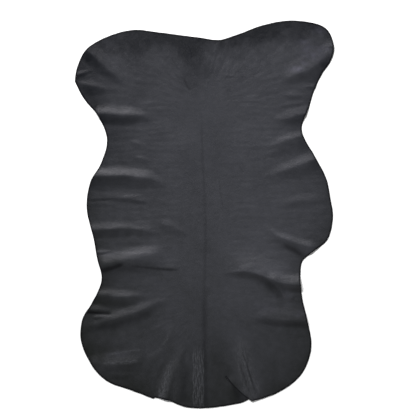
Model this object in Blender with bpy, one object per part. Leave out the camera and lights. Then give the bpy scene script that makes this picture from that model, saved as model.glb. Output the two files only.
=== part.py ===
# A tanned goatskin, dyed black, lying grain side up: one piece of nappa leather.
# Metres, +Z up, +Y towards the neck. The origin is under the middle of the outline's box,
# and the flesh side rests on z = 0 wherever no fold lifts it.

from collections import namedtuple

import bmesh
import bpy
from mathutils import Vector

# Driving dimensions
LENGTH = 1.050              # from the neck's edge to the rump's
WIDTH = 0.702               # from one foreleg's tip to the other's
THICKNESS = 0.0012          # of the leather
MM = 0.001                  # the tables below are in millimetres

# The skin is laid out in spokes, each from the edge to a foot on the spine
SPOKE_SPACING = 0.0078      # along the edge
FRONT_FOOT = 0.340          # the spokes of the neck and forelegs meet here
REAR_FOOT = -0.381          # the spokes of the rump meet here, in line with the slit
RING_SHARES = (0.0, 0.03, 0.07, 0.12, 0.18, 0.24, 0.31, 0.38, 0.46, 0.55, 0.67, 0.80, 0.92)

# The slit beside the tail runs along its spoke. Its outer bank lies over the inner one.
SLIT_SHARE = 0.55           # of the spoke, so that it ends on a ring
SLIT_GAP = 0.0006           # between the banks where they don't lap
SLIT_LAP = 0.0050           # how far the inner bank reaches under the outer one
SLIT_LIFT = 0.0024          # of the outer bank over the inner one
SLIT_LIFT_WIDTH = 0.045     # over which that lift dies out

CREST_STEPS = 14            # straight pieces in each fold's crest
CREST_ROUND = 1.5           # power that rounds a fold's crest
SLOPE_EASE = 2.0            # power that eases its slopes out onto the table
NAPPA_BLACK = (0.036, 0.037, 0.041, 1.0)
NAPPA_ROUGHNESS = 0.5

# The outline, from the slit's outer bank round by the right side, neck and left side to
# its inner bank. across is to the right of the spine, along is towards the neck.
Landmark = namedtuple("Landmark", "place across along turn")
OUTLINE = (
    Landmark("flap tip", 129, -507, "corner"),
    Landmark("right rump", 208, -479, "round"),
    Landmark("right hind corner", 263, -434, "round"),
    Landmark("right haunch", 290, -350, "round"),
    Landmark("right thigh", 279, -288, "round"),
    Landmark("right groin", 263, -212, "round"),
    Landmark("right flank", 260, -158, "round"),
    Landmark("right flank nook", 265, -128, "round"),
    Landmark("right belly lobe", 294, -102, "round"),
    Landmark("right belly rear", 330, -73, "round"),
    Landmark("right belly", 348, -14, "round"),
    Landmark("right belly side", 341, 46, "round"),
    Landmark("right belly front", 331, 95, "round"),
    Landmark("right breast", 297, 161, "round"),
    Landmark("right armpit", 264, 229, "round"),
    Landmark("right elbow", 285, 295, "round"),
    Landmark("right forearm", 299, 339, "round"),
    Landmark("right foreleg back", 322, 386, "round"),
    Landmark("right foreleg heel", 342, 415, "round"),
    Landmark("right foreleg tip", 351, 452, "round"),
    Landmark("right foreleg corner", 335, 498, "round"),
    Landmark("right shoulder", 250, 525, "round"),
    Landmark("right neck", 156, 512, "round"),
    Landmark("right nape", 91, 488, "round"),
    Landmark("neck", 40, 473, "round"),
    Landmark("left nape", -12, 479, "round"),
    Landmark("left neck", -121, 493, "round"),
    Landmark("left shoulder", -190, 500, "round"),
    Landmark("left foreleg front", -264, 481, "round"),
    Landmark("left foreleg corner", -321, 445, "round"),
    Landmark("left foreleg side", -344, 400, "round"),
    Landmark("left foreleg tip", -351, 360, "corner"),
    Landmark("left foreleg heel", -326, 313, "round"),
    Landmark("left elbow", -290, 269, "round"),
    Landmark("left armpit", -264, 205, "round"),
    Landmark("left breast", -284, 130, "round"),
    Landmark("left belly front", -307, 91, "round"),
    Landmark("left belly", -319, 31, "round"),
    Landmark("left belly rear", -299, -72, "round"),
    Landmark("left flank front", -289, -126, "round"),
    Landmark("left flank", -278, -170, "round"),
    Landmark("left groin", -306, -243, "round"),
    Landmark("left thigh", -329, -281, "round"),
    Landmark("left haunch", -336, -328, "round"),
    Landmark("left hind corner", -311, -400, "round"),
    Landmark("left rump", -263, -453, "round"),
    Landmark("left tail", -196, -478, "round"),
    Landmark("nick tip", -139, -500, "corner"),
    Landmark("nick", -133, -497, "corner"),
    Landmark("tail left", -99, -505, "round"),
    Landmark("tail", -50, -523, "round"),
    Landmark("tail right", 12, -525, "round"),
    Landmark("tail side", 66, -518, "round"),
    Landmark("slit side", 105, -510, "round"),
    Landmark("slit mouth", 123, -502, "corner"),
)

# The folds. Each crest runs from the edge through a middle point to where it dies out.
# neckward and rumpward are the widths of its two slopes, hold is the share of the crest
# that keeps its height, and rise is the share over which it first grows to that height.
Fold = namedtuple("Fold", "place edge middle inner height neckward rumpward hold rise")
FOLDS = (
    Fold("left foreleg", (-329, 459), (-277, 410), (-205, 357), 5.8, 36, 42, 0.60, 0.0),
    Fold("left foreleg tip", (-354, 354), (-312, 352), (-264, 343), 2.6, 14, 30, 0.25, 0.0),
    Fold("left armpit", (-302, 272), (-220, 273), (-138, 264), 6.0, 33, 38, 0.60, 0.0),
    Fold("left breast", (-304, 103), (-212, 105), (-114, 74), 6.8, 32, 38, 0.50, 0.0),
    Fold("left belly", (-322, 40), (-225, 44), (-134, 31), 1.9, 24, 16, 0.60, 0.4),
    Fold("left belly rear", (-322, -37), (-225, -39), (-114, -48), 4.0, 24, 28, 0.35, 0.0),
    Fold("left flank", (-298, -139), (-200, -121), (-96, -107), 6.2, 28, 26, 0.45, 0.0),
    Fold("left groin", (-312, -217), (-235, -222), (-158, -221), 4.3, 24, 34, 0.50, 0.0),
    Fold("left thigh", (-336, -256), (-290, -259), (-244, -262), 3.2, 24, 16, 0.40, 0.0),
    Fold("left haunch", (-322, -304), (-210, -275), (-88, -226), 4.0, 28, 34, 0.45, 0.2),
    Fold("left rump", (-316, -398), (-236, -395), (-160, -368), 3.1, 36, 42, 0.50, 0.0),
    Fold("tail ridge", (-104, -508), (-88, -448), (-70, -396), 3.0, 26, 20, 0.50, 0.0),
    Fold("right foreleg", (358, 456), (286, 391), (200, 367), 4.2, 44, 36, 0.60, 0.0),
    Fold("right elbow", (298, 273), (232, 262), (176, 250), 3.1, 29, 30, 0.45, 0.0),
    Fold("right armpit", (286, 220), (226, 204), (162, 187), 2.8, 22, 32, 0.50, 0.0),
    Fold("right breast", (304, 157), (226, 123), (144, 91), 3.5, 25, 32, 0.45, 0.0),
    Fold("right belly", (348, 53), (246, 36), (148, 22), 2.0, 20, 18, 0.50, 0.3),
    Fold("right belly rear", (310, -93), (232, -72), (144, -24), 4.1, 20, 24, 0.60, 0.2),
    Fold("right flank", (274, -187), (210, -182), (142, -163), 8.2, 31, 28, 0.40, 0.0),
    Fold("right groin", (216, -248), (152, -167), (44, -160), 7.4, 70, 28, 0.50, 0.2),
    Fold("right haunch", (296, -291), (205, -286), (118, -277), 3.9, 44, 22, 0.50, 0.0),
    Fold("rump ridge", (150, -494), (132, -446), (118, -400), 2.4, 18, 24, 0.40, 0.0),
)


def clear_scene():
    for item in list(bpy.data.objects):
        bpy.data.objects.remove(item, do_unlink=True)


def ease(value):
    """Smooth step from 0 to 1."""
    value = min(max(value, 0.0), 1.0)
    return value * value * (3.0 - 2.0 * value)


def runs_between_corners(landmarks):
    """Split the landmarks into runs that share their corner points."""
    runs = [[]]
    for index, mark in enumerate(landmarks):
        point = Vector((mark.across, mark.along)) * MM
        runs[-1].append(point)
        if mark.turn == "corner" and 0 < index < len(landmarks) - 1:
            runs.append([point])
    return runs


def tangents(points):
    """Unit-speed tangents of a smooth curve through a run of points."""
    chords = [second - first for first, second in zip(points, points[1:])]
    steps = [chord.normalized() for chord in chords]
    inner = []
    for before, after, step_in, step_out in zip(chords, chords[1:], steps, steps[1:]):
        total = before.length + after.length
        inner.append((step_in * after.length + step_out * before.length) / total)
    if not inner:
        return [steps[0], steps[0]]
    first = steps[0] * 1.5 - inner[0] * 0.5
    last = steps[-1] * 1.5 - inner[-1] * 0.5
    return [first] + inner + [last]


def curve_point(start, end, start_tangent, end_tangent, share):
    """Point of a cubic Hermite segment."""
    length = (end - start).length
    blend = ease(share)
    leave = share * (1.0 - share) ** 2
    arrive = share * share * (share - 1.0)
    return start.lerp(end, blend) + (start_tangent * leave + end_tangent * arrive) * length


def outline_points():
    """Evenly spaced points along the edge, from the slit round to the slit."""
    points = []
    for run in runs_between_corners(OUTLINE):
        slopes = tangents(run)
        for index in range(len(run) - 1):
            start, end = run[index], run[index + 1]
            count = max(1, round((end - start).length / SPOKE_SPACING))
            for step in range(count):
                share = step / count
                points.append(curve_point(start, end, slopes[index], slopes[index + 1], share))
    points.append(run[-1].copy())
    return fitted(points)


def fitted(points):
    """Centre the outline on the origin and bring it to LENGTH and WIDTH."""
    low = Vector((min(p.x for p in points), min(p.y for p in points)))
    high = Vector((max(p.x for p in points), max(p.y for p in points)))
    middle = (low + high) / 2.0
    across = WIDTH / (high.x - low.x)
    along = LENGTH / (high.y - low.y)
    return [Vector(((p.x - middle.x) * across, (p.y - middle.y) * along)) for p in points]


def crest_line(fold):
    """Points and length shares of a fold's crest, a curve through its three points."""
    edge, middle, inner = (Vector(place) * MM for place in (fold.edge, fold.middle, fold.inner))
    pull = middle * 2.0 - (edge + inner) / 2.0
    line = []
    for step in range(CREST_STEPS + 1):
        share = step / CREST_STEPS
        line.append(edge.lerp(pull, share).lerp(pull.lerp(inner, share), share))
    return line


def nearest_on_crest(line, point):
    """Signed distance to the crest, positive on the neck side, and the share along it."""
    best = None
    for index in range(CREST_STEPS):
        start, end = line[index], line[index + 1]
        along = end - start
        share = min(max((point - start).dot(along) / along.length_squared, 0.0), 1.0)
        offset = point - (start + along * share)
        if best is None or offset.length < best[0]:
            side = Vector((-along.y, along.x))
            if side.y < 0.0:
                side = -side
            sign = 1.0 if offset.dot(side) >= 0.0 else -1.0
            best = (offset.length, sign, (index + share) / CREST_STEPS)
    return best[0] * best[1], best[2]


def fold_height(point, crests):
    """Height of the flesh side above the ground, where neighbouring folds blend."""
    cubes = 0.0
    for fold, line in crests:
        distance, share = nearest_on_crest(line, point)
        slope = (fold.neckward if distance >= 0.0 else fold.rumpward) * MM
        if abs(distance) >= slope:
            continue
        across = (1.0 - (abs(distance) / slope) ** CREST_ROUND) ** SLOPE_EASE
        along = 1.0 - ease((share - fold.hold) / (1.0 - fold.hold))
        if fold.rise:
            along *= ease(share / fold.rise)
        cubes += (fold.height * MM * across * along) ** 3
    return cubes ** (1.0 / 3.0)


def spoke_foot(edge_point):
    return Vector((0.0, min(max(edge_point.y, REAR_FOOT), FRONT_FOOT)))


def slit_opening(share):
    """How far along the slit a ring is: 0 at its inner end, 1 at the edge."""
    return min(max(1.0 - share / SLIT_SHARE, 0.0), 1.0)


def outer_bank_lift(point, share, mouth):
    """Lift of the skin beside the slit's outer bank."""
    along = (mouth - spoke_foot(mouth)).normalized()
    offset = point - mouth
    beside = abs(along.x * offset.y - along.y * offset.x)
    fade = 1.0 - ease(beside / SLIT_LIFT_WIDTH)
    return SLIT_LIFT * fade * ease(slit_opening(share) * 4.0)


def inner_bank_shift(share, mouth):
    """Sideways shift of the inner bank: a hair's gap at first, then the lap."""
    along = (mouth - spoke_foot(mouth)).normalized()
    under = Vector((-along.y, along.x))
    lap = ease((slit_opening(share) - 0.35) / 0.35)
    return under * (SLIT_LAP * lap - SLIT_GAP * (1.0 - lap))


def skin_grid(edge_points, crests):
    """Rows of vertex places, one row for each spoke, from the edge inwards."""
    mouth = edge_points[0]
    last = len(edge_points) - 1
    grid = []
    for index, edge_point in enumerate(edge_points):
        foot = spoke_foot(edge_point)
        row = []
        for share in RING_SHARES:
            point = edge_point.lerp(foot, share)
            height = fold_height(point, crests)
            if index < last // 2:
                height += outer_bank_lift(point, share, mouth)
            if index == last and share < SLIT_SHARE:
                point += inner_bank_shift(share, mouth)
            row.append(Vector((point.x, point.y, height)))
        grid.append(row)
    return grid


def skin_surface(grid):
    """The flesh side as one open surface, slit but otherwise whole."""
    surface = bmesh.new()
    rows = [[surface.verts.new(place) for place in row] for row in grid[:-1]]
    closing = []
    for ring, share in enumerate(RING_SHARES):
        if share < SLIT_SHARE:
            closing.append(surface.verts.new(grid[-1][ring]))
        else:
            closing.append(rows[0][ring])
    rows.append(closing)
    for row, following in zip(rows, rows[1:]):
        for ring in range(len(RING_SHARES) - 1):
            corners = (row[ring], following[ring], following[ring + 1], row[ring + 1])
            surface.faces.new(corners)
    inner_ring = [row[-1] for row in rows[:-1]]
    inner_edges = [surface.edges.get(pair) for pair in zip(inner_ring, inner_ring[1:] + inner_ring[:1])]
    bmesh.ops.triangle_fill(surface, use_beauty=True, edges=inner_edges)
    bmesh.ops.recalc_face_normals(surface, faces=surface.faces)
    if sum(face.normal.z for face in surface.faces) < 0.0:
        bmesh.ops.reverse_faces(surface, faces=surface.faces)
    return surface


def leather():
    material = bpy.data.materials.new("black_nappa")
    material.use_nodes = True
    shader = material.node_tree.nodes["Principled BSDF"]
    shader.inputs["Base Color"].default_value = NAPPA_BLACK
    shader.inputs["Roughness"].default_value = NAPPA_ROUGHNESS
    shader.inputs["Metallic"].default_value = 0.0
    return material


def build_hide():
    crests = [(fold, crest_line(fold)) for fold in FOLDS]
    surface = skin_surface(skin_grid(outline_points(), crests))
    mesh = bpy.data.meshes.new("hide")
    surface.to_mesh(mesh)
    surface.free()
    mesh.materials.append(leather())
    mesh.shade_smooth()
    hide = bpy.data.objects.new("hide", mesh)
    bpy.context.scene.collection.objects.link(hide)
    body = hide.modifiers.new("thickness", "SOLIDIFY")
    body.thickness = THICKNESS
    body.offset = 1.0
    return hide


clear_scene()
build_hide()
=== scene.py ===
import math
import bpy
import numpy as np
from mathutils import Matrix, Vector, noise
from mathutils.geometry import delaunay_2d_cdt
from mathutils.kdtree import KDTree


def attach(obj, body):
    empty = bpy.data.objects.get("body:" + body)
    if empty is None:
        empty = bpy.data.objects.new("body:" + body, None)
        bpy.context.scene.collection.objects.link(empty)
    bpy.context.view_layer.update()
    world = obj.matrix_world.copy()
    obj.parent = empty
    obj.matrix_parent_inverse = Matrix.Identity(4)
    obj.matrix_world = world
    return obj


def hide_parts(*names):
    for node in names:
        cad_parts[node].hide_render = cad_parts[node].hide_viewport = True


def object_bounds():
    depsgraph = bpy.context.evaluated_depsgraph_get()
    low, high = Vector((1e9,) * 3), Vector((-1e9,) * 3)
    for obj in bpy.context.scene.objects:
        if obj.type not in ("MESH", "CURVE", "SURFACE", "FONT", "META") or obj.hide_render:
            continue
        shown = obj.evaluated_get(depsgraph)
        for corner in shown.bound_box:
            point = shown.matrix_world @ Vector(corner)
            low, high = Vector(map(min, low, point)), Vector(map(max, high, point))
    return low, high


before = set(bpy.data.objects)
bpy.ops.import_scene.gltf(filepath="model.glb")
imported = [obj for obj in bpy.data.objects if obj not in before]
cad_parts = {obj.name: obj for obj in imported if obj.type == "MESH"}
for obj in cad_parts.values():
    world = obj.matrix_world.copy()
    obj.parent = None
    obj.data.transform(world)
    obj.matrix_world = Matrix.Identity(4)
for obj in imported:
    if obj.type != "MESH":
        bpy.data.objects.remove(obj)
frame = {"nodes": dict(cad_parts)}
cadLow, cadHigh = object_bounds()
print("frame loaded:", ", ".join(frame["nodes"]))

# black nappa goatskin, laid flat with the grain side up and the neck towards +Y
mm = 0.001
noise.seed_set(1)       # so that the cut and the folds wander the same way in every run

# the skin itself, lengths in metres
hide = {
    "thickness": 0.0012,
    "cutEdgeThickness": 0.0006,     # pressed thin where the knife went
    "lowest": 0.7,                  # share of that which the grain side keeps over the table
    "edgeLoops": (0.0008, 0.0020),  # rows of points that follow the cut while it thins
    "loopRoom": 0.93,               # share of its offset that a row's point keeps off the cut
    "edgeStep": 0.0029,             # mesh size along the cut
    "grainCell": 0.0031,            # mesh size of the grain side
    "fleshCell": 0.0080,            # mesh size of the flesh side
    "cellRoom": 0.6,                # share of a cell left free beside the rows
    "unevenness": 0.0005,           # how far it lies off the table between the folds
    "unevenSizes": ((0.11, 1.0, 1.7), (0.042, 0.45, 8.2)),      # size, share and seed
    "edgeCurl": 0.0010,             # how far the cut lifts here and there
    "curlWidth": 0.014, "curlSize": 0.05, "curlBias": 0.1, "curlSeed": 5.1,
    "knifeWander": 0.0005,          # of the cut from a fair line
    "knifeSize": 1.0 / 60.0, "knifeSeed": 4.0,
    "darkEdge": 0.0060,             # width of the dark line along the cut
    "darkSlit": 0.0029,             # and along the slit
    "deepestShade": 0.85,           # of the painted shade in creases, fold troughs and the slit's shadow
    "sharpAngle": 55.0,             # degrees, above which an edge isn't smoothed
}

# the cut line, in millimetres right of the spine and towards the neck, from the slit
# round by the right side, neck and left side
cutLine = [
    ("slit end", 59, -441),
    ("flap tip", 129, -507),
    ("right rump", 208, -479),
    ("right hind corner", 263, -434),
    ("right haunch", 290, -350),
    ("right thigh", 279, -288),
    ("right groin", 263, -212),
    ("right flank", 260, -158),
    ("right flank nook", 265, -128),
    ("right belly lobe", 294, -102),
    ("right belly rear", 330, -73),
    ("right belly", 348, -14),
    ("right belly side", 341, 46),
    ("right belly front", 331, 95),
    ("right breast", 297, 161),
    ("right armpit", 264, 229),
    ("right elbow", 285, 295),
    ("right forearm", 299, 339),
    ("right foreleg back", 322, 386),
    ("right foreleg heel", 342, 415),
    ("right foreleg tip", 351, 452),
    ("right foreleg corner", 335, 498),
    ("right shoulder", 250, 525),
    ("right neck", 156, 512),
    ("right nape", 91, 488),
    ("neck", 40, 473),
    ("left nape", -12, 479),
    ("left neck", -121, 493),
    ("left shoulder", -190, 500),
    ("left foreleg front", -264, 481),
    ("left foreleg corner", -321, 445),
    ("left foreleg side", -344, 400),
    ("left foreleg tip", -351, 360),
    ("left foreleg heel", -326, 313),
    ("left elbow", -290, 269),
    ("left armpit", -264, 205),
    ("left breast", -284, 130),
    ("left belly front", -307, 91),
    ("left belly", -319, 31),
    ("left belly rear", -299, -72),
    ("left flank front", -289, -126),
    ("left flank", -278, -170),
    ("left groin", -306, -243),
    ("left thigh", -329, -281),
    ("left haunch", -336, -328),
    ("left hind corner", -311, -400),
    ("left rump", -263, -453),
    ("left tail", -196, -478),
    ("nick tip", -139, -500),
    ("nick", -133, -497),
    ("tail left", -99, -505),
    ("tail", -50, -523),
    ("tail right", 12, -525),
    ("tail side", 66, -518),
    ("slit side", 105, -510),
    ("slit mouth", 123, -502),
]

# the marks at which it turns sharply
cutCorners = ("slit end", "flap tip", "left foreleg tip", "nick tip", "nick", "slit mouth")

# the slit beside the tail, in millimetres: its outer bank lies over its inner one; the shares
# run along it, 0 at its end and 1 at its mouth
slit = {
    "bow": 4.0,           # how far it bends towards the spine midway
    "gap": 0.3,           # between the banks near the slit's end
    "gapOver": 0.125,     # share over which that gap opens
    "calmWidth": 30.0,    # within this the knife didn't wander
    "lap": 5.0,           # how far the inner bank slips under the outer one at the mouth
    "lapFrom": 0.05,      # share at which it begins to slip under
    "lapOver": 0.6,       # and the share that it takes
    "lapPast": 1.3,       # nothing moves beyond this share
    "lapWidth": 24.0,     # the skin gives over this width
    "lift": 1.7,          # of the outer bank over the inner one
    "liftOver": 0.25,     # share over which it rises
    "liftWidth": 30.0,
    "shade": 0.45,        # how dark the painted shadow on the inner bank is at the mouth
    "shadeOver": 0.4,     # share over which it darkens
    "shadeWidth": 60.0,   # how far the shade reaches for each share past shadeFrom
    "shadeFrom": 0.15,
    "shadeReach": (0.02, 1.2),      # least and most of that share
    "darkReach": (0.005, 0.1),      # metres beside it and share before its end in its dark line
    "rimReach": (0.004, 0.05),      # and those that are no rim for the dye
}

# how a fold falls away: round at its crest, steepest two fifths of the way down, then easing
# out onto the table; its slope towards the rump, turned from the light, takes a painted shade
foldShape = {
    "round": 1.5, "ease": 2.0, "troughShade": 0.4,
    "taper": 0.5,       # share of its width that is left where it dies out
    "wander": 0.003, "wanderSize": 0.05, "wanderSeed": 50.0,    # of its crest from a fair line
    "swell": 0.16, "swellSize": 0.030, "swellSeed": 100.0,      # how unevenly it stands up
}
pathStep = 0.008    # between the points of a fold's or a crease's path, in metres


def fold(place, height, neckward, rumpward, *crest, hold=0.35, start=0.0,
         taper=foldShape["taper"], roundness=foldShape["round"]):
    # a soft ridge: its height, the widths of its slopes towards the neck and the rump, its crest
    # from the cut inwards, the share of its length that keeps its height, and the share over
    # which it rises; lengths in millimetres
    return {"place": place, "crest": crest, "height": height, "neckward": neckward,
            "rumpward": rumpward, "hold": hold, "start": start, "taper": taper,
            "round": roundness}


folds = [
    # left side, from the neck down
    fold("left foreleg", 5.2, 31, 30, (-324, 456), (-300, 428), (-262, 392), (-225, 366), (-196, 351),
         hold=0.3, taper=0.7),
    fold("foreleg ridgelet", 1.3, 10, 12, (-354, 373), (-330, 383), (-296, 391), hold=0.3),
    fold("foreleg tip", 2.4, 20, 30, (-356, 354), (-322, 350), (-256, 335), hold=0.45, start=0.5),
    fold("left armpit", 4.8, 28, 32, (-302, 272), (-225, 270), (-136, 258), hold=0.55, start=0.11),
    fold("armpit ripple", 0.9, 11, 20, (-206, 200), (-150, 183), hold=0.5, start=0.4),
    fold("breast ripple", 0.9, 11, 20, (-196, 158), (-144, 145), hold=0.5, start=0.4),
    fold("left breast", 5.4, 29, 38, (-304, 104.5), (-237, 104.5), (-190, 102), (-142, 93), (-94, 67),
         hold=0.55),
    fold("left belly", 1.9, 24, 13, (-322, 40), (-240, 44), (-190, 41), (-132, 30), hold=0.7, start=0.7),
    fold("left belly rear", 3.6, 24, 26, (-322, -41), (-270, -41), (-237, -40), (-183, -38), (-122, -40),
         hold=0.35),
    fold("belly rear, inside", 2.2, 30, 22, (-210, -40), (-160, -45), (-112, -50), hold=0.5, start=0.35),
    fold("left belly, inside", 1.6, 20, 24, (-124, -22), (-80, -37), (-36, -61), hold=0.5, start=0.3),
    fold("left flank", 5.5, 36, 62, (-298, -138), (-237, -129), (-190, -120), (-160, -114), (-129, -107),
         (-84, -99), hold=0.6, start=0.17, taper=0.9),
    fold("left flank ridgelet", 1.6, 10, 8, (-298, -105), (-242, -100)),
    fold("left flank crease", 0.8, 20, 8, (-150, -140), (-120, -144), (-56, -148), hold=0.6, start=0.3),
    fold("left groin", 3.7, 24, 34, (-312, -217), (-235, -222), (-150, -223), hold=0.55),
    fold("left thigh", 3.1, 24, 12, (-340, -254), (-290, -259), (-240, -262), hold=0.4),
    fold("haunch ridgelet", 1.5, 10, 9, (-308, -280), (-240, -281), hold=0.5, start=0.3),
    fold("left haunch", 4.0, 28, 34, (-318, -304), (-270, -290), (-234, -282), (-199, -271), (-164, -257),
         (-129, -240), (-84, -224), hold=0.45, start=0.25),
    fold("left rump", 2.9, 36, 42, (-316, -405), (-234, -404), (-199, -399), (-156, -379), hold=0.5,
         start=0.15),
    fold("rump ripple", 1.2, 18, 15, (-266, -434), (-178, -432), hold=0.5, start=0.2),
    fold("tail ridge", 2.6, 28, 22, (-104, -512), (-86, -442), (-68, -396), (-48, -342), hold=0.5),
    # right side, from the neck down
    fold("right foreleg", 1.9, 34, 36, (358, 456), (322, 422), (300, 402), (284, 391), (252, 379),
         (205, 370), hold=0.5),
    fold("foreleg, inside", 3.4, 46, 27, (330, 433), (300, 405), (284, 392), (252, 379), (198, 370),
         hold=0.6, start=0.55, taper=0.7),
    fold("foreleg ridgelet", 1.6, 11, 10, (356, 455), (318, 452), hold=0.3),
    fold("foreleg crease", 0.6, 8, 6, (92, 376), (60, 375), (120, 378), start=0.2),
    fold("right forearm ridgelet", 1.2, 11, 11, (312, 343), (280, 346), (262, 345)),
    fold("right elbow, front", 1.3, 20, 15, (272, 322), (246, 320), (206, 324), hold=0.5, start=0.4),
    fold("right elbow, middle", 0.6, 12, 12, (270, 300), (244, 299), (190, 290), hold=0.5, start=0.2),
    fold("right elbow", 3.0, 29, 30, (300, 276), (268, 270), (216, 259), (174, 251), hold=0.45),
    fold("right armpit", 2.5, 23, 44, (286, 217), (262, 209), (230, 201), (200, 191), (150, 180), hold=0.4),
    fold("right armpit, inside", 0.9, 15, 18, (254, 181), (210, 173), (150, 162), hold=0.5, start=0.3),
    fold("right breast", 3.7, 29, 38, (304, 151), (252, 130), (191, 110), (136, 92), hold=0.2),
    fold("right belly", 1.8, 24, 27, (348, 48), (286, 39), (225, 31), (166, 24), hold=0.4, start=0.45),
    fold("right belly rear", 3.8, 20, 30, (318, -91), (284, -86), (254, -80), (226, -71), (188, -50),
         (146, -20), hold=0.45, start=0.16),
    fold("right belly nook", 1.4, 12, 9, (300, -106), (256, -97), hold=0.4),
    fold("right flank", 9.0, 38, 26, (276, -191), (235, -190), (202, -185), (172, -172), (135, -155),
         hold=0.55, taper=1.3),
    fold("right groin", 7.6, 78, 25, (215, -246), (214, -224), (203, -204), (185, -187), (161, -168),
         (124, -156), (84, -156), (40, -161), hold=0.52, start=0.2, taper=0.8, roundness=1.2),
    fold("groin ridgelet", 2.4, 17, 16, (246, -226), (206, -223), hold=0.5, start=0.2),
    fold("right haunch", 3.9, 44, 20, (296, -291), (198, -285), (114, -276), hold=0.5),
    # the three strands at the right rump run towards the tail: their wide slope is the left one
    fold("rump strand, outer", 1.8, 14, 10, (152, -492), (140, -460), (128, -425), (118, -390), hold=0.6),
    fold("rump strand, middle", 2.5, 8, 26, (139, -486), (124, -448), (117, -430), (112, -398), (103, -350),
         (97, -328), hold=0.65, start=0.15),
    fold("rump strand, inner", 1.5, 8, 22, (112, -470), (102, -440), (96, -410), (91, -378), hold=0.5,
         start=0.2),
]


def crease(place, width, *path, lift=0.0, shade=0.0, rubAndHighlight=0.0, fade=0.25):
    # a fine line in the grain: width, path and lift in millimetres (a trough has a negative
    # lift), painted shade, rub with painted highlight, and the share of its length over which each end
    # fades
    return {"place": place, "path": path, "width": width, "lift": lift, "shade": shade,
            "rubAndHighlight": rubAndHighlight, "fade": fade}


creases = [
    crease("spine", 8, (-8, 300), (-6, 200), (0, 67), (4, -74), (0, -215), (-1, -356), (4, -427), (3, -545),
           lift=-0.22, shade=0.2, fade=0.15),
    crease("spine at the rump", 14, (2, -170), (1, -356), (3, -427), (3, -560), shade=0.35, fade=0.2),
    crease("beside the spine", 3.5, (39, 110), (44, 60), (53, 1), lift=-0.12, shade=0.2),
    crease("right of the spine", 22, (34, 250), (32, 180), (28, 110), (20, 40), shade=0.07),
    crease("left belly", 9, (-338, 28), (-280, 38), (-212, 41), lift=-0.3, shade=0.1),
    crease("right belly", 7, (130, 20), (178, 25), (236, 36), lift=-0.1, shade=0.13),
    crease("left flank step", 13, (-320, -158), (-285, -154), (-250, -145), (-212, -132), shade=0.85,
           fade=0.18),
    crease("left flank step, inside", 22, (-260, -152), (-200, -145), (-140, -147), shade=0.28),
    crease("left flank crease", 8, (-220, -138), (-160, -144), (-120, -148), (-60, -152), lift=-0.2,
           shade=0.5),
    crease("left thigh", 8, (-350, -262), (-300, -267), (-245, -270), lift=-0.9, shade=0.7, fade=0.15),
    crease("left haunch", 16, (-340, -320), (-270, -304), (-234, -297), (-199, -286), (-164, -274),
           (-120, -256), shade=0.25),
    crease("neck", 6, (-56, 371), (-48, 350), (-34, 331), lift=-0.4, shade=0.4),
    crease("right belly rear", 15, (206, -80), (242, -96), (276, -122), shade=0.5),
    crease("right groin", 14, (36, -161), (88, -162), (123, -166), (159, -182), (180, -203), (196, -226),
           (208, -256), shade=0.12),
    crease("right flank", 12, (280, -206), (229, -203), (198, -199), shade=0.2),
    crease("right haunch", 13, (320, -300), (198, -298), (110, -290), shade=0.25),
    crease("rump, outer", 4.0, (96, -328), (102, -363), (107, -386), (117, -414), (129, -452), (143, -494),
           lift=-0.18, shade=0.34),
    crease("rump, inner", 4.0, (95, -396), (103, -426), (113, -456), (126, -494), lift=-0.18, shade=0.34),
    crease("rump, outermost", 4.0, (126, -418), (143, -463), (155, -494), lift=-0.12, shade=0.22),
    crease("rump streak, inner", 9, (95, -332), (100, -363), (105, -386), (113, -414), (122, -446),
           (133, -498), lift=0.1, rubAndHighlight=0.72),
    crease("rump streak, outer", 11, (101, -345), (108, -375), (117, -405), (130, -436), (145, -470),
           (160, -506), lift=0.1, rubAndHighlight=0.6),
    crease("rump streak, tailward", 11, (90, -385), (97, -426), (107, -460), (115, -496), rubAndHighlight=0.5),
    crease("tail hollow", 24, (-46, -405), (-53, -445), (-64, -530), shade=0.32),
    crease("beside the tail band", 20, (-88, -520), (-76, -440), (-66, -385), rubAndHighlight=0.22),
    crease("tail band", 25, (-142, -600), (-108, -458), (-93, -413), (-80, -378), (-70, -345), rubAndHighlight=0.78,
           fade=0.5),
    crease("rump band", 44, (134, -540), (111, -420), (92, -320), rubAndHighlight=0.45, fade=0.25),
    crease("left rump", 28, (-290, -399), (-249, -394), (-212, -391), (-165, -382), rubAndHighlight=0.23),
    crease("left rump, upper line", 7, (-272, -384), (-235, -376), (-205, -371), (-155, -366), lift=0.15,
           rubAndHighlight=0.5),
    crease("left rump, lower line", 11, (-286, -404), (-244, -402), (-206, -400), (-164, -391), lift=0.1,
           rubAndHighlight=0.55),
    crease("left rump streak", 9, (-168, -386), (-124, -369), (-108, -350), (-97, -325), (-80, -288),
           lift=0.15, rubAndHighlight=0.38, fade=0.3),
]

# the wrinkled strip beside the spine at the tail, in millimetres; its rub is partly a painted highlight
tailWrinkles = {
    "left": -29, "right": -3, "top": -352, "bottom": -540,
    "lines": 6, "marks": 13, "width": 3.0, "height": 0.5, "rubAndHighlight": 0.85,
    "wave": 1.5, "waveTurn": 1.9, "lineTurn": 2.3,      # radians from mark to mark and line to line
}

# fine ripples that run out from the spine, in metres
ripples = {
    "height": 0.00030, "length": 0.045, "width": 0.0105, "from": 0.02, "to": 0.12,
    "spineTop": 0.30, "spineBottom": -0.25, "fan": 0.16,
    "seed": 31.0, "leftShift": 3.0,     # the left side takes another part of the noise
}

# where the mesh is finer, in millimetres: left, right, bottom, top and mesh size
fineStrips = [
    ("tail", -38, 6, -530, -345, 1.5),
    ("rump", 84, 158, -500, -325, 2.1),
]


def placeInScene(name, data):
    placed = bpy.data.objects.new(name, data)
    bpy.context.scene.collection.objects.link(placed)
    return placed


def smoothStep(value):
    value = np.clip(value, 0.0, 1.0)
    return value * value * (3.0 - 2.0 * value)


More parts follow.
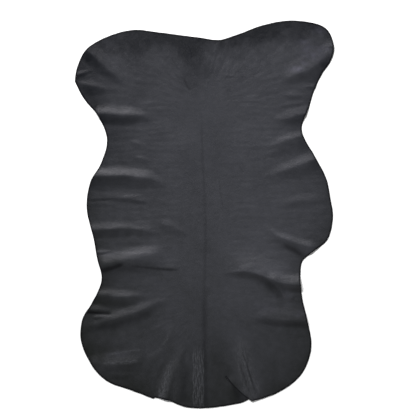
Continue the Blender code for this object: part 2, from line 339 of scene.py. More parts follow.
def smoothPath(marks, step):
    # a fair curve through the marks, as points about a step apart
    marks = [np.array(mark, dtype=float) for mark in marks]
    chords = [after - before for before, after in zip(marks, marks[1:])]
    lengths = [math.hypot(*chord) for chord in chords]
    headings = [chord / length for chord, length in zip(chords, lengths)]
    slopes = [headings[0]]
    for i in range(1, len(chords)):
        total = lengths[i - 1] + lengths[i]
        slopes.append((headings[i - 1] * lengths[i] + headings[i] * lengths[i - 1]) / total)
    slopes.append(headings[-1])
    if len(chords) > 1:
        slopes[0] = headings[0] * 1.5 - slopes[1] * 0.5
        slopes[-1] = headings[-1] * 1.5 - slopes[-2] * 0.5
    points = []
    for i, length in enumerate(lengths):
        count = max(1, round(length / step))
        for k in range(count):
            t = k / count
            blend = t * t * (3.0 - 2.0 * t)
            leave = t * (1.0 - t) ** 2 * length
            arrive = t * t * (t - 1.0) * length
            points.append(marks[i] + chords[i] * blend + slopes[i] * leave + slopes[i + 1] * arrive)
    points.append(marks[-1])
    return np.array(points)


def nearPath(points, path, reach):
    low, high = path.min(axis=0) - reach, path.max(axis=0) + reach
    return np.flatnonzero(np.all((points > low) & (points < high), axis=1))


def nearestOnPath(points, path):
    # distance to a path, on which side of it (neck side positive), and the share along it
    distance = np.full(len(points), np.inf)
    side = np.ones(len(points))
    share = np.zeros(len(points))
    for i in range(len(path) - 1):
        along = path[i + 1] - path[i]
        t = np.clip((points - path[i]) @ along / (along @ along), 0.0, 1.0)
        offset = points - path[i] - t[:, None] * along
        away = np.hypot(offset[:, 0], offset[:, 1])
        neckward = np.array((-along[1], along[0])) * (1.0 if along[0] >= 0.0 else -1.0)
        closer = away < distance
        distance[closer] = away[closer]
        side[closer] = np.where(offset @ neckward >= 0.0, 1.0, -1.0)[closer]
        share[closer] = (i + t[closer]) / (len(path) - 1)
    return distance, side, share


def noiseOver(points, size, seed):
    # smooth noise from -1 to 1 with lumps of about the given size in metres
    return np.array([noise.noise(Vector((x / size, y / size, seed))) for x, y in points])


def wanderOver(points, size, seed):
    return np.array([noise.noise_vector(Vector((x / size, y / size, seed)))[:2] for x, y in points])


def cutEdge():
    # the closed cut, counter-clockwise from the slit's end, its two banks a hair apart
    runs = [[]]
    for place, across, along in cutLine:
        mark = (across * mm, along * mm)
        runs[-1].append(mark)
        if place in cutCorners and len(runs[-1]) > 1:
            runs.append([mark])
    runs[-1].append(runs[0][0])
    paths = [smoothPath(run, hide["edgeStep"])[:-1] for run in runs]
    points = np.vstack(paths)
    low, high = points.min(axis=0), points.max(axis=0)
    boxLow, boxHigh = np.array(cadLow)[:2], np.array(cadHigh)[:2]
    points = boxLow + (points - low) * (boxHigh - boxLow) / (high - low)
    slit["end"], slit["tip"] = points[0].copy(), points[len(paths[0])].copy()
    # the knife wandered a little, away from the slit
    fromSlit = nearestOnPath(points, np.array((slit["end"], slit["tip"])))[0]
    calm = smoothStep(fromSlit / (slit["calmWidth"] * mm))
    wander = wanderOver(points, hide["knifeSize"], hide["knifeSeed"])
    points += wander * hide["knifeWander"] * calm[:, None]
    share = besideSlit(points)[0]
    innerBank = np.arange(len(points)) >= len(points) - len(paths[-1])
    opening = np.minimum(share[innerBank] / slit["gapOver"], 1.0) * slit["gap"] * mm
    points[innerBank] += slitInward() * opening[:, None]
    bothBanks = innerBank | (np.arange(len(points)) < len(paths[0]))
    points[bothBanks] += slitInward() * slitBow(share[bothBanks])[:, None]
    return points


def slitInward():
    # unit step from the slit line onto the inner bank's side
    along = (slit["tip"] - slit["end"]) / math.hypot(*(slit["tip"] - slit["end"]))
    return np.array((along[1], -along[0]))


def slitBow(share):
    return slit["bow"] * mm * 4.0 * np.clip(share * (1.0 - share), 0.0, 1.0)


def besideSlit(points):
    # share along the slit (0 at its end, 1 at the mouth) and distance onto the inner side
    along = slit["tip"] - slit["end"]
    share = (points - slit["end"]) @ along / (along @ along)
    return share, (points - slit["end"]) @ slitInward() - slitBow(share)


def alongSlit(points, reach, before):
    # which points lie within reach of the slit, from a little before its end to its mouth
    share, beside = besideSlit(points)
    return (np.abs(beside) < reach) & (share > -before) & (share <= 1.0)


def slipUnder(points):
    # push the inner bank under the outer one
    share, beside = besideSlit(points)
    inner = beside > slit["gap"] * mm / 2
    slipped = smoothStep((share - slit["lapFrom"]) / slit["lapOver"])
    lap = slit["lap"] * mm * slipped * (share < slit["lapPast"])
    give = 1.0 - smoothStep(beside / (slit["lapWidth"] * mm))
    return points - slitInward() * (lap * give * inner)[:, None]


def flapLift(points):
    share, beside = besideSlit(points)
    outer = beside <= slit["gap"] * mm / 2
    fade = 1.0 - smoothStep(-beside / (slit["liftWidth"] * mm))
    return slit["lift"] * mm * smoothStep(share / slit["liftOver"]) * fade * outer


def slitShade(points):
    # the inner bank lies in the outer one's shadow, the more so towards the mouth
    share, beside = besideSlit(points)
    inner = (beside > slit["gap"] * mm / 2) & (share > slit["lapFrom"])
    width = slit["shadeWidth"] * mm * np.clip(share - slit["shadeFrom"], *slit["shadeReach"])
    fade = 1.0 - smoothStep(beside / width * 2.0 - 1.0)
    return slit["shade"] * smoothStep(share / slit["shadeOver"]) * fade * inner


def foldHeights(points):
    # height of all the folds together, and the painted shade on their far slopes
    total, trough = np.zeros(len(points)), np.zeros(len(points))
    for number, ridge in enumerate(folds):
        path = smoothPath([(x * mm, y * mm) for x, y in ridge["crest"]], pathStep)
        wander = wanderOver(path, foldShape["wanderSize"], foldShape["wanderSeed"] + number)
        path += foldShape["wander"] * wander
        reach = max(ridge["neckward"], ridge["rumpward"]) * max(ridge["taper"], 1.0) * mm
        near = nearPath(points, path, reach)
        distance, side, share = nearestOnPath(points[near], path)
        along = 1.0 - smoothStep((share - ridge["hold"]) / (1.0 - ridge["hold"]))
        if ridge["start"]:
            along *= smoothStep(share / ridge["start"])
        width = np.where(side > 0.0, ridge["neckward"], ridge["rumpward"]) * mm
        width *= ridge["taper"] + (1.0 - ridge["taper"]) * along
        out = np.minimum(distance / width, 1.0)
        fallen = 1.0 - out ** ridge["round"]
        uneven = noiseOver(points[near], foldShape["swellSize"], foldShape["swellSeed"] + number)
        swell = 1.0 + foldShape["swell"] * uneven
        height = ridge["height"] * mm * along * swell
        # cubes add up to the higher ridge where two cross, without a seam
        total[near] += (height * fallen ** foldShape["ease"]) ** 3
        steepness = ridge["round"] * foldShape["ease"]
        steepness = steepness * out ** (ridge["round"] - 1.0) * fallen ** (foldShape["ease"] - 1.0)
        # painted shade on the slope that falls away towards the rump, turned from the light
        falls = np.where(side > 0.0, 0.0, height / width * steepness)
        trough[near] = np.maximum(trough[near], falls)
    return np.cbrt(total), foldShape["troughShade"] * trough


def lieOfTheSkin(points, edgeDistance):
    # height of the flesh side over the table, before it is stopped by the table
    broad = sum(share * noiseOver(points, size, seed) for size, share, seed in hide["unevenSizes"])
    curl = np.maximum(noiseOver(points, hide["curlSize"], hide["curlSeed"]) + hide["curlBias"], 0.0)
    curl *= np.exp(-edgeDistance / hide["curlWidth"])
    lift = hide["unevenness"] * broad + hide["edgeCurl"] * curl
    height, trough = foldHeights(points)
    return height + flapLift(points) + lift, trough


# where the tone runs deeper: along the cut, to the left, towards the tail (a painted fall-off
# of the light), in soft patches of uneven dye and of painted shade and highlight, and in a random mottle;
# it begins at each From and is all there at the To, in metres from the middle
dyeAndPaintedLight = {
    "all": 0.32,
    "rim": 0.32, "rimWidth": 0.030, "rimAtTail": 0.6,       # the last a share of rim
    "left": 0.22, "leftFrom": -0.02, "leftTo": -0.34,
    "tail": 0.30, "tailFrom": -0.13, "tailTo": -0.52,
    "mottle": 0.11, "mottleAtNeck": 0.8, "neckFrom": 0.34, "neckOver": 0.1,
    "mottleSizes": ((0.06, 1.0, 21.0), (0.018, 0.85, 22.0), (0.008, 0.5, 23.0)),    # share, seed
    "blueFrom": -0.22, "blueTo": 0.28,      # its cast grows bluer towards the neck
    "paintedHighlightSize": 0.010, "paintedHighlightSeed": 41.0,  # how the painted lilac highlight is broken up
    "paintedHighlightMean": 0.85, "paintedHighlightSpread": 1.1, "paintedHighlightMost": 1.5,
}
# soft patches of uneven dye and of painted shade (deeper) and painted highlight (paler): across, along and
# two radii in millimetres, and how much deeper
dyeAndPaintedLightPatches = [
    ("neck", -36, 434, 42, 58, 0.52),
    ("left of the neck", -112, 440, 50, 36, -0.11),
    ("left shoulder", -162, 415, 56, 42, 0.12),
    ("right of the neck", 75, 455, 60, 30, 0.11),
    ("right shoulder", 110, 345, 52, 46, 0.06),
    ("left neck", -140, 484, 130, 56, 0.38),
    ("left shoulder, outside", -195, 420, 50, 60, 0.12),
    ("left foreleg", -320, 400, 60, 80, 0.26),
    ("left elbow", -306, 328, 40, 26, 0.2),
    ("right neck", 152, 502, 135, 45, 0.68),
    ("nape", 15, 378, 35, 25, 0.14),
    ("nape, left", -45, 396, 20, 16, -0.1),
    ("neck, left edge", -58, 458, 28, 24, 0.1),
    ("left neck, inside", -98, 472, 45, 18, 0.15),
    ("neck crease", -50, 350, 28, 30, 0.06),
    ("withers", -90, 328, 165, 75, 0.1),
    ("withers, left", -195, 325, 80, 40, 0.07),
    ("withers, middle", -92, 322, 26, 30, -0.07),
    ("left foreleg, top", -288, 480, 40, 20, -0.08),
    ("left foreleg, ridge", -236, 418, 38, 26, -0.15),
    ("left elbow hollow", -280, 292, 14, 9, 0.36),
    ("left armpit, front", -200, 306, 85, 14, -0.08),
    ("armpit trough", -240, 250, 60, 10, 0.18),
    ("left armpit", -230, 216, 45, 22, 0.13),
    ("left breast", -160, 205, 35, 35, -0.06),
    ("left breast, outside", -214, 150, 40, 40, 0.05),
    ("left belly", -225, 0, 50, 30, -0.09),
    ("left belly, inside", -155, -10, 60, 16, -0.07),
    ("left flank, front", -266, -106, 26, 7, -0.28),
    ("left flank, inside", -98, -128, 45, 16, -0.09),
    ("over the left step", -240, -130, 45, 8, 0.14),
    ("left flank", -150, -113, 62, 22, -0.24),
    ("left groin, front", -220, -171, 70, 16, -0.13),
    ("left groin", -150, -221, 100, 22, -0.11),
    ("left groin trough", -245, -241, 60, 12, 0.18),
    ("left haunch", -322, -292, 14, 16, -0.2),
    ("left haunch, rear", -240, -342, 80, 12, -0.08),
    ("left haunch edge", -312, -355, 22, 35, 0.08),
    ("left rump, outside", -282, -378, 40, 18, 0.09),
    ("left haunch, inside", -148, -272, 36, 22, 0.09),
    ("above the tail", -112, -306, 42, 26, -0.13),
    ("beside the tail", -68, -345, 18, 30, -0.14),
    ("left rump", -170, -372, 60, 35, -0.12),
    ("left hind", -285, -418, 60, 45, -0.24),
    ("right foreleg heel", 322, 400, 18, 32, 0.3),
    ("right foreleg, front", 275, 490, 26, 20, 0.18),
    ("right foreleg, band", 266, 412, 32, 13, 0.2),
    ("right neck, rear", 162, 462, 20, 38, -0.12),
    ("right forearm", 298, 360, 18, 20, 0.14),
    ("right breast", 140, 250, 52, 72, -0.15),
    ("right armpit, front", 235, 258, 32, 20, 0.09),
    ("right armpit", 180, 204, 55, 16, -0.08),
    ("right breast trough", 292, 100, 28, 12, 0.14),
    ("right side", 140, 10, 90, 110, -0.14),
    ("right belly", 240, 22, 95, 44, -0.07),
    ("right belly edge", 292, 30, 34, 30, -0.09),
    ("right belly rear", 215, -44, 50, 26, -0.1),
    ("right belly rear, inside", 190, -76, 22, 18, 0.14),
    ("right belly nook", 284, -98, 25, 14, -0.42),
    ("right loin", 68, -85, 50, 40, -0.15),
    ("right loin, rear", 86, -133, 34, 14, 0.14),
    ("right loin, outside", 110, -90, 34, 24, -0.07),
    ("right flank", 176, -108, 70, 75, -0.22),
    ("over the right flank", 182, -150, 66, 16, -0.2),
    ("under the right flank", 180, -195, 25, 20, 0.2),
    ("right groin", 224, -220, 12, 22, -0.38),
    ("right groin, inside", 72, -206, 40, 44, -0.12),
    ("right haunch", 100, -252, 55, 45, -0.09),
    ("right haunch, front", 165, -235, 75, 26, -0.08),
    ("right haunch edge", 238, -305, 30, 38, 0.12),
    ("right rump, inside", 78, -330, 36, 45, -0.1),
    ("right rump", 160, -365, 45, 35, -0.12),
    ("above the strands", 86, -325, 34, 28, -0.15),
    ("right of the tail", 48, -410, 30, 50, 0.09),
    ("beside the tail, right", 40, -380, 34, 50, 0.06),
    ("left of the slit", 80, -484, 15, 26, 0.26),
    ("beside the slit", 122, -450, 50, 55, -0.12),
    ("beside the strands", 142, -462, 15, 40, -0.2),
]
# a painted lilac highlight, patch by patch in the same way
paintedLilacHighlightPatches = [
    ("foreleg trough", 249, 393, 19, 8, 0.42),
    ("foreleg trough, front", 272, 409, 12, 8, 0.22),
    ("foreleg fold", 298, 430, 28, 13, 0.24),
    ("foreleg fold, tip", 320, 446, 20, 9, 0.26),
    ("right foreleg, middle", 280, 448, 14, 10, 0.28),
    ("right foreleg, front", 272, 467, 16, 9, 0.2),
    ("right foreleg corner", 308, 497, 18, 9, 0.14),
    ("right haunch", 172, -256, 38, 14, 0.07),
    ("right haunch, outside", 254, -270, 22, 9, 0.1),
    ("left rump", -235, -380, 26, 8, 0.12),
]


def fromTo(values, first, last):
    # how far along, from nothing at the first to all at the last
    return smoothStep((values - first) / (last - first))


def inPatch(points, across, along, wide, tall):
    x, y = points[:, 0], points[:, 1]
    return np.exp(-(((x - across * mm) / (wide * mm)) ** 2 + ((y - along * mm) / (tall * mm)) ** 2))


def dyeAndPaintedLightDepth(points, edgeDistance):
    x, y = points[:, 0], points[:, 1]
    # darker towards the tail: a painted fall-off of the light
    tailward = fromTo(y, dyeAndPaintedLight["tailFrom"], dyeAndPaintedLight["tailTo"])
    rim = dyeAndPaintedLight["rim"] * (1.0 + (dyeAndPaintedLight["rimAtTail"] - 1.0) * tailward)
    depth = dyeAndPaintedLight["all"] + rim * np.exp(-edgeDistance / dyeAndPaintedLight["rimWidth"]) + dyeAndPaintedLight["tail"] * tailward
    depth += dyeAndPaintedLight["left"] * fromTo(x, dyeAndPaintedLight["leftFrom"], dyeAndPaintedLight["leftTo"])
    # patches of uneven dye and of painted shade and highlight
    for place, across, along, wide, tall, deeper in dyeAndPaintedLightPatches:
        depth += deeper * inPatch(points, across, along, wide, tall)
    atNeck = smoothStep((y - dyeAndPaintedLight["neckFrom"]) / dyeAndPaintedLight["neckOver"])
    mottle = dyeAndPaintedLight["mottle"] * (1.0 + dyeAndPaintedLight["mottleAtNeck"] * atNeck)
    for size, share, seed in dyeAndPaintedLight["mottleSizes"]:
        depth += mottle * share * noiseOver(points, size, seed)
    return np.clip(depth, 0.0, 1.0)


# a painted lilac highlight, broken up by noise
def paintedLilacHighlightOver(points):
    paintedLilacHighlight = np.zeros(len(points))
    for place, across, along, wide, tall, strength in paintedLilacHighlightPatches:
        paintedLilacHighlight = np.maximum(paintedLilacHighlight, strength * inPatch(points, across, along, wide, tall))
    uneven = noiseOver(points, dyeAndPaintedLight["paintedHighlightSize"], dyeAndPaintedLight["paintedHighlightSeed"])
    return paintedLilacHighlight * np.clip(dyeAndPaintedLight["paintedHighlightMean"] + dyeAndPaintedLight["paintedHighlightSpread"] * uneven, 0.0, dyeAndPaintedLight["paintedHighlightMost"])


def wrinkleLines():
    # the tail's strip of fine upright wrinkles
    w = tailWrinkles
    lines = []
    for k in range(w["lines"]):
        x = w["left"] + (w["right"] - w["left"]) * k / (w["lines"] - 1)
        path = []
        for mark in range(w["marks"]):
            y = w["top"] + (w["bottom"] - w["top"]) * mark / (w["marks"] - 1)
            path.append((x + w["wave"] * math.sin(mark * w["waveTurn"] + k * w["lineTurn"]), y))
        lines.append(crease("tail", w["width"], *path, lift=w["height"], rubAndHighlight=w["rubAndHighlight"], fade=0.2))
    return lines


def fineLines(points):
    # what the creases and wrinkles add to the grain side: height, painted shade, rub with painted
    # highlight, and how far each point lies across and along the line that rubs it most
    height, shade, rubAndHighlight = (np.zeros(len(points)) for _ in range(3))
    rubAndHighlightPlace = np.zeros((len(points), 3))
    for number, line in enumerate(creases + wrinkleLines()):
        path = smoothPath([(x * mm, y * mm) for x, y in line["path"]], pathStep)
        near = nearPath(points, path, line["width"] * mm * 1.3)     # past this it has died out
        distance, side, share = nearestOnPath(points[near], path)
        across = np.exp(-((2.0 * distance / (line["width"] * mm)) ** 2))
        ends = smoothStep(share / line["fade"]) * smoothStep((1.0 - share) / line["fade"])
        height[near] += line["lift"] * mm * across * ends
        shade[near] = np.maximum(shade[near], line["shade"] * across * ends)
        # rubbing, partly a painted highlight on crests and strands
        rubAndHighlightHere = line["rubAndHighlight"] * across * ends
        more = rubAndHighlightHere > rubAndHighlight[near]
        rubAndHighlight[near[more]] = rubAndHighlightHere[more]
        length = pathStep * len(path)
        here = np.column_stack((distance * side, share * length, np.full(len(near), number)))
        rubAndHighlightPlace[near[more]] = here[more]
    return height, shade, rubAndHighlight, rubAndHighlightPlace


def rippleHeight(points):
    # along the spine and outwards from it, fanning round its two ends
    x, y = points[:, 0], points[:, 1]
    onSpine = np.clip(y, ripples["spineBottom"], ripples["spineTop"])
    outward = np.hypot(x, y - onSpine)
    turn = np.arctan2(y - onSpine, np.abs(x))
    along = onSpine + turn * ripples["fan"] + np.where(x < 0.0, ripples["leftShift"], 0.0)
    stretched = np.column_stack((outward / ripples["length"], along / ripples["width"]))
    fine = noiseOver(stretched, 1.0, ripples["seed"])
    return ripples["height"] * fine * fromTo(outward, ripples["from"], ripples["to"])


def insideEdge(points, edge):
    inside = np.zeros(len(points), dtype=bool)
    for (ax, ay), (bx, by) in zip(edge, np.roll(edge, -1, axis=0)):
        if ay != by:
            crossing = (ay > points[:, 1]) != (by > points[:, 1])
            inside ^= crossing & (points[:, 0] < (bx - ax) * (points[:, 1] - ay) / (by - ay) + ax)
    return inside


def treeOf(points):
    tree = KDTree(len(points))
    for i, point in enumerate(points):
        tree.insert((point[0], point[1], 0.0), i)
    tree.balance()
    return tree


def distanceTo(tree, points):
    return np.array([tree.find((x, y, 0.0))[2] for x, y in points])


def lattice(low, high, cell):
    # points at the corners of even triangles
    across = np.arange(low[0], high[0], cell)
    rows = []
    for j, y in enumerate(np.arange(low[1], high[1], cell * math.sqrt(0.75))):
        rows.append(np.stack((across + (j % 2) * cell / 2, np.full(len(across), y)), axis=1))
    return np.vstack(rows)


def fillSkin(edge, cell, loops, strips):
    # points over the skin, the cut's own first, with triangles between them
    tree = treeOf(edge)
    tangent = np.roll(edge, -1, axis=0) - np.roll(edge, 1, axis=0)
    inward = np.stack((-tangent[:, 1], tangent[:, 0]), axis=1)
    inward /= np.maximum(np.hypot(inward[:, 0], inward[:, 1]), 1e-9)[:, None]
    rows = []
    for offset in loops:
        row = edge + inward * offset
        clear = distanceTo(tree, row) > offset * hide["loopRoom"]
        rows.append(row[clear & insideEdge(row, edge)])
    inner = lattice(edge.min(axis=0), edge.max(axis=0), cell)
    finer = []
    for place, left, right, bottom, top, size in strips:
        low, high = np.array((left, bottom)) * mm, np.array((right, top)) * mm
        inner = inner[~np.all((inner > low) & (inner < high), axis=1)]
        finer.append(lattice(low, high, size * mm))
    inner = np.vstack([inner] + finer)
    clear = distanceTo(tree, inner) > max(loops, default=0.0) + cell * hide["cellRoom"]
    rows.append(inner[clear & insideEdge(inner, edge)])
    points = np.vstack([edge] + rows)
    ring = [(i, (i + 1) % len(edge)) for i in range(len(edge))]
    filled = delaunay_2d_cdt([Vector(point) for point in points], ring, [], 0, 1e-8, False)
    points, faces = np.array([tuple(point) for point in filled[0]]), np.array(filled[2])
    # triangles that bridge a hollow of the outline have all three corners on the cut
    bridging = np.flatnonzero(np.all(faces < len(edge), axis=1))
    outside = ~insideEdge(points[faces[bridging]].mean(axis=1), edge)
    faces = np.delete(faces, bridging[outside], axis=0)
    return points, faces, distanceTo(tree, points)


def grainSide(plan, edgeDistance):
    # heights of the grain side over its plan, its painted shade, and its rub with painted highlight
    thinning = smoothStep(edgeDistance / hide["edgeLoops"][-1])
    thick = hide["cutEdgeThickness"] + (hide["thickness"] - hide["cutEdgeThickness"]) * thinning
    lines, shade, rubAndHighlight, rubAndHighlightPlace = fineLines(plan)
    lie, trough = lieOfTheSkin(plan, edgeDistance)
    # painted shade of the creases, the fold troughs and the slit's shadow
    shade = np.minimum(np.maximum(shade, slitShade(plan)) + trough, hide["deepestShade"])
    height = lie + thick + lines + rippleHeight(plan)
    return np.maximum(height, hide["cutEdgeThickness"] * hide["lowest"]), shade, rubAndHighlight, rubAndHighlightPlace


def cutShade(plan, edgeDistance):
    # darker along the cut, in a narrower line along the slit
    width = np.where(alongSlit(plan, *slit["darkReach"]), hide["darkSlit"], hide["darkEdge"])
    return 1.0 - smoothStep(edgeDistance / width)


def skinMesh(grain, flesh, grainFaces, fleshFaces, rimCount):
    # both sides as one closed mesh, joined round the cut by quads
    first = len(grain)
    faces = grainFaces.tolist() + (first + fleshFaces[:, ::-1]).tolist()
    for i in range(rimCount):
        after = (i + 1) % rimCount
        faces.append((first + i, first + after, after, i))
    mesh = bpy.data.meshes.new("goatSkin")
    mesh.from_pydata(np.vstack((grain, flesh)).tolist(), [], faces)
    side = np.zeros(len(faces), dtype=np.int32)
    side[len(grainFaces):] = 1
    side[len(grainFaces) + len(fleshFaces):] = 2
    return mesh, side


def buildHide(materials):
    edge = cutEdge()
    grainPlan, grainFaces, grainIn = fillSkin(edge, hide["grainCell"], hide["edgeLoops"], fineStrips)
    fleshPlan, fleshFaces, fleshIn = fillSkin(edge, hide["fleshCell"], (), ())
    print("plan filled:", len(grainFaces), "and", len(fleshFaces), "triangles")
    grainHeight, shade, rubAndHighlight, rubAndHighlightPlace = grainSide(grainPlan, grainIn)
    fleshHeight = np.maximum(lieOfTheSkin(fleshPlan, fleshIn)[0], 0.0)
    print("folds and creases laid in")
    grain = np.column_stack((slipUnder(grainPlan), grainHeight))
    flesh = np.column_stack((slipUnder(fleshPlan), fleshHeight))
    mesh, side = skinMesh(grain, flesh, grainFaces, fleshFaces, len(edge))
    for material in materials:
        mesh.materials.append(material)
    mesh.polygons.foreach_set("material_index", side)
    mesh.shade_smooth()
    mesh.set_sharp_from_angle(angle=math.radians(hide["sharpAngle"]))
    # what the grain side's shader reads, painted shade and highlight among it; the flesh side has none of
    # it
    outline = edge[~alongSlit(edge, *slit["rimReach"])]
    layers = {
        "creaseShade": shade,
        "rubbedAndHighlit": rubAndHighlight,
        "nearCut": cutShade(grainPlan, grainIn),
        "dyeAndPaintedLightDepth": dyeAndPaintedLightDepth(grainPlan, distanceTo(treeOf(outline), grainPlan)),
        "atNeck": fromTo(grainPlan[:, 1], dyeAndPaintedLight["blueFrom"], dyeAndPaintedLight["blueTo"]),
        "paintedLilacHighlight": paintedLilacHighlightOver(grainPlan),
    }
    bare = np.zeros(len(flesh))
    for name, values in layers.items():
        layer = mesh.attributes.new(name, "FLOAT", "POINT")
        layer.data.foreach_set("value", np.concatenate((values, bare)).astype(np.float32))
    layer = mesh.attributes.new("rubAndHighlightPlace", "FLOAT_VECTOR", "POINT")
    rubAndHighlightPlace = np.vstack((rubAndHighlightPlace, np.zeros((len(flesh), 3))))
    layer.data.foreach_set("vector", rubAndHighlightPlace.astype(np.float32).ravel())
    mesh.update()
    return placeInScene("goatSkin", mesh)


# the dyed grain side; grain sizes in metres
nappa = {
    "colour": (0.0258, 0.0274, 0.0331),
    "deepColour": (0.0004, 0.0014, 0.0),     # where the dye and its painted shade are deepest
    "neckColour": (0.0, 0.0010, 0.0026),     # and at the neck
    # the bloom colour is a painted lilac highlight, the rubbed colour is rubbing with a painted highlight,
    # and the crease colour is a painted shade
    "paintedLilacHighlightColour": (0.054, 0.053, 0.078),
    "rubAndHighlightColour": (0.064, 0.066, 0.073),
    "paintedShadeColour": (0.006, 0.006, 0.007),
    "gloss": 0.44,
    "coatColour": (0.97, 0.94, 1.0),         # tint of the gloss
    "paintedShadeGlossColour": (0.08, 0.08, 0.08),        # and where it is dimmed as painted shade
    "glossDimmedByDepth": 0.45,                      # how much of it is dimmed where the dye and its painted shade are deepest
    "roughness": {"To Min": 0.45, "To Max": 0.55},
    "sheen": 0.02, "sheenRoughness": 0.5,
    "streak": (0.0026, 0.012),       # width and length of the streaks in the rub and its painted highlight
    "streakRange": {"From Min": 0.36, "From Max": 0.64, "To Min": 0.25, "To Max": 1.75},
    "grain": 0.0015,
    "grainDepth": 0.00010,
    "grainValley": {"From Max": 0.28},       # share of a grain that is valley
    "pebble": 0.0052,
    "pebbleDepth": 0.00012,
    "lumpsPerMetre": 90.0,
    "lumpDepth": 0.00036,
}


def node(tree, kind, label, **inputs):
    made = tree.nodes.new(kind)
    made.label = label
    for name, value in inputs.items():
        made.inputs[name].default_value = value
    return made


def newFinish(name, settings):
    # a material with the given settings, its tree and its shader
    material = bpy.data.materials.new(name)
    material.use_nodes = True
    shader = material.node_tree.nodes["Principled BSDF"]
    for socket, value in settings.items():
        shader.inputs[socket].default_value = value
    return material, material.node_tree, shader


def skinLayer(tree, name, output="Fac"):
    # a value that the mesh carries
    made = node(tree, "ShaderNodeAttribute", name)
    made.attribute_name = name
    return made.outputs[output]


def blend(tree, label, share, first, second):
    # from one colour to the other; either may be another node's output
    made = node(tree, "ShaderNodeMix", label)
    made.data_type = "RGBA"
    tree.links.new(share, made.inputs[0])
    for socket, colour in ((made.inputs[6], first), (made.inputs[7], second)):
        if isinstance(colour, bpy.types.NodeSocket):
            tree.links.new(colour, socket)
        else:
            socket.default_value = (*colour, 1.0)
    return made.outputs[2]


def combine(tree, label, operation, first, second):
    made = node(tree, "ShaderNodeMath", label)
    made.operation = operation
    tree.links.new(first, made.inputs[0])
    tree.links.new(second, made.inputs[1])
    return made.outputs[0]


def mapRange(tree, label, value, ends):
    made = node(tree, "ShaderNodeMapRange", label, **ends)
    tree.links.new(value, made.inputs["Value"])
    return made


def bump(tree, label, height, depth, under=None):
    made = node(tree, "ShaderNodeBump", label, Strength=1.0, Distance=depth)
    tree.links.new(height, made.inputs["Height"])
    if under:
        tree.links.new(under.outputs["Normal"], made.inputs["Normal"])
    return made


def nappaGrain():
    material, tree, shader = newFinish("nappaGrain", {
        "Specular IOR Level": nappa["gloss"],
        "Sheen Weight": nappa["sheen"],
        "Sheen Roughness": nappa["sheenRoughness"],
    })
    link = tree.links.new
    place = tree.nodes.new("ShaderNodeTexCoord").outputs["Object"]

    # fine grain with soft valleys, on pebbles, on broad lumps
    cells = node(tree, "ShaderNodeTexVoronoi", "grain", Scale=1.0 / nappa["grain"])
    cells.feature = "DISTANCE_TO_EDGE"
    link(place, cells.inputs["Vector"])
    valleys = mapRange(tree, "grain valleys", cells.outputs["Distance"], nappa["grainValley"])
    valleys.interpolation_type = "SMOOTHSTEP"
    pebbles = node(tree, "ShaderNodeTexVoronoi", "pebbles", Scale=1.0 / nappa["pebble"])
    pebbles.feature = "SMOOTH_F1"
    link(place, pebbles.inputs["Vector"])
    lumps = node(tree, "ShaderNodeTexNoise", "lumps", Scale=nappa["lumpsPerMetre"], Detail=4.0,
                 Roughness=0.6)
    link(place, lumps.inputs["Vector"])
    coarse = bump(tree, "lump bump", lumps.outputs["Fac"], nappa["lumpDepth"])
    middle = bump(tree, "pebble bump", pebbles.outputs["Distance"], nappa["pebbleDepth"], coarse)
    middle.invert = True
    fine = bump(tree, "grain bump", valleys.outputs["Result"], nappa["grainDepth"], middle)
    link(fine.outputs["Normal"], shader.inputs["Normal"])

    # dye of uneven depth, with painted shade and highlight in that depth, and a painted lilac highlight
    # here and there
    depth, atNeck = skinLayer(tree, "dyeAndPaintedLightDepth"), skinLayer(tree, "atNeck")
    deepest = blend(tree, "deepest dye", atNeck, nappa["deepColour"], nappa["neckColour"])
    dyed = blend(tree, "dyeAndPaintedLight", depth, nappa["colour"], deepest)
    withPaintedLilacHighlight = blend(tree, "paintedLilacHighlight", skinLayer(tree, "paintedLilacHighlight"), dyed, nappa["paintedLilacHighlightColour"])

    # paler where it is rubbed and a highlight is painted, in streaks along the rub and on the tops of the
    # grain
    drawn = node(tree, "ShaderNodeMapping", "drawn along the rub")
    drawn.inputs["Scale"].default_value = (1.0 / nappa["streak"][0], 1.0 / nappa["streak"][1], 1.0)
    link(skinLayer(tree, "rubAndHighlightPlace", "Vector"), drawn.inputs["Vector"])
    streaks = node(tree, "ShaderNodeTexNoise", "streaks", Scale=1.0, Detail=2.0, Roughness=0.6)
    link(drawn.outputs["Vector"], streaks.inputs["Vector"])
    broken = mapRange(tree, "broken into streaks", streaks.outputs["Fac"], nappa["streakRange"])
    rubAndHighlight = combine(tree, "rub in streaks", "MULTIPLY", skinLayer(tree, "rubbedAndHighlit"), broken.outputs["Result"])
    rubAndHighlight = combine(tree, "rub on the grain's tops", "MULTIPLY", rubAndHighlight, valleys.outputs["Result"])
    rubbedAndHighlit = blend(tree, "rubbedAndHighlit", rubAndHighlight, withPaintedLilacHighlight, nappa["rubAndHighlightColour"])

    # painted shade in the creases, on the folds' far slopes and under the slit's lip; darker along the cut
    creased, nearCut = skinLayer(tree, "creaseShade"), skinLayer(tree, "nearCut")
    dark = combine(tree, "crease or cut", "MAXIMUM", creased, nearCut)
    link(blend(tree, "creases", dark, rubbedAndHighlit, nappa["paintedShadeColour"]), shader.inputs["Base Color"])

    # finish: a matt top coat, a touch uneven; as painted shade its gloss is dimmed in the creases, fold
    # troughs and slit's shadow, along the cut, and where the dye and painted shade run deep
    bare = node(tree, "ShaderNodeMath", "bare of finish")
    bare.operation = "MULTIPLY_ADD"
    bare.use_clamp = True
    bare.inputs[1].default_value = nappa["glossDimmedByDepth"]
    link(depth, bare.inputs[0])
    link(dark, bare.inputs[2])
    tint = blend(tree, "shine", bare.outputs[0], nappa["coatColour"], nappa["paintedShadeGlossColour"])
    link(tint, shader.inputs["Specular Tint"])
    wear = mapRange(tree, "finish", lumps.outputs["Fac"], nappa["roughness"])
    link(wear.outputs["Result"], shader.inputs["Roughness"])
    return material


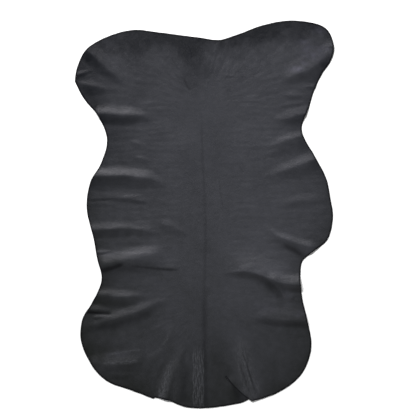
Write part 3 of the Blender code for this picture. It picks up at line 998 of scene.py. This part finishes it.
# the suede underside and the raw cut
suede = {
    "colour": (0.045, 0.043, 0.042),
    "cutColour": (0.016, 0.015, 0.015),
    "shading": (0.6, 1.4),      # of the colour, in the nap's hollows and on its tops
    "roughness": 0.9,
    "fuzz": 0.3,
    "nap": 0.0009,
    "napDepth": 0.00018,
}


def suedeSide(name, colour):
    settings = {"Roughness": suede["roughness"], "Sheen Weight": suede["fuzz"]}
    material, tree, shader = newFinish(name, settings)
    place = tree.nodes.new("ShaderNodeTexCoord").outputs["Object"]
    nap = node(tree, "ShaderNodeTexNoise", "nap", Scale=1.0 / suede["nap"], Detail=6.0, Roughness=0.7)
    tree.links.new(place, nap.inputs["Vector"])
    hollow, top = ([part * share for part in colour] for share in suede["shading"])
    shading = blend(tree, "nap shading", nap.outputs["Fac"], hollow, top)
    tree.links.new(shading, shader.inputs["Base Color"])
    fuzz = bump(tree, "nap bump", nap.outputs["Fac"], suede["napDepth"])
    tree.links.new(fuzz.outputs["Normal"], shader.inputs["Normal"])
    return material


flesh = suedeSide("suedeSide", suede["colour"])
rawCut = suedeSide("rawCut", suede["cutColour"])
skin = buildHide([nappaGrain(), flesh, rawCut])
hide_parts("hide")
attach(skin, "root")
print("hide made:", len(skin.data.polygons), "faces")

# table, camera and lights, in metres and watts
studio = {
    "floorSize": 14.0,
    "floorColour": (0.86, 0.86, 0.86),
    "floorRoughness": 0.9,
    "floorGloss": 0.1,
    "floorDrop": 0.0003,             # under the skin, so that the two don't touch
    "cameraLens": 120.0,             # millimetres
    "sensorWidth": 36.0,
    "frameWidth": 1.1266,            # width that the frame takes in at the table
    "frameCentre": (0.0099, 0.0171),
    "keyPlace": (-1.9, 4.6, 3.1),
    "keySize": (2.6, 1.3),
    "keyPower": 800.0,
    "fillPlace": (1.2, -4.2, 2.8),
    "fillSize": (2.4, 1.6),
    "fillPower": 60.0,
    "surround": 0.12,
}


def areaLight(name, place, size, power):
    lamp = bpy.data.lights.new(name, "AREA")
    lamp.shape = "RECTANGLE"
    lamp.size, lamp.size_y = size
    lamp.energy = power
    holder = placeInScene(name, lamp)
    holder.location = place
    holder.rotation_euler = (-Vector(place)).to_track_quat("-Z", "Y").to_euler()


def buildStudio():
    half = studio["floorSize"] / 2
    mesh = bpy.data.meshes.new("table")
    corners = [(-half, -half, 0), (half, -half, 0), (half, half, 0), (-half, half, 0)]
    mesh.from_pydata(corners, [], [(0, 1, 2, 3)])
    mesh.materials.append(newFinish("paleTable", {
        "Base Color": (*studio["floorColour"], 1.0),
        "Roughness": studio["floorRoughness"],
        "Specular IOR Level": studio["floorGloss"],
    })[0])
    table = placeInScene("table", mesh)
    table.location.z = -studio["floorDrop"]

    camera = bpy.data.cameras.new("camera")
    camera.lens = studio["cameraLens"]
    camera.sensor_width = studio["sensorWidth"]
    holder = placeInScene("camera", camera)
    away = studio["frameWidth"] * camera.lens / camera.sensor_width
    holder.location = (*studio["frameCentre"], away)
    bpy.context.scene.camera = holder

    areaLight("key", studio["keyPlace"], studio["keySize"], studio["keyPower"])
    areaLight("fill", studio["fillPlace"], studio["fillSize"], studio["fillPower"])
    world = bpy.data.worlds.new("studio")
    world.use_nodes = True
    background = world.node_tree.nodes["Background"]
    background.inputs["Color"].default_value = (1.0, 1.0, 1.0, 1.0)
    background.inputs["Strength"].default_value = studio["surround"]
    bpy.context.scene.world = world
    bpy.context.scene.view_settings.view_transform = "Standard"


buildStudio()
print("studio set")
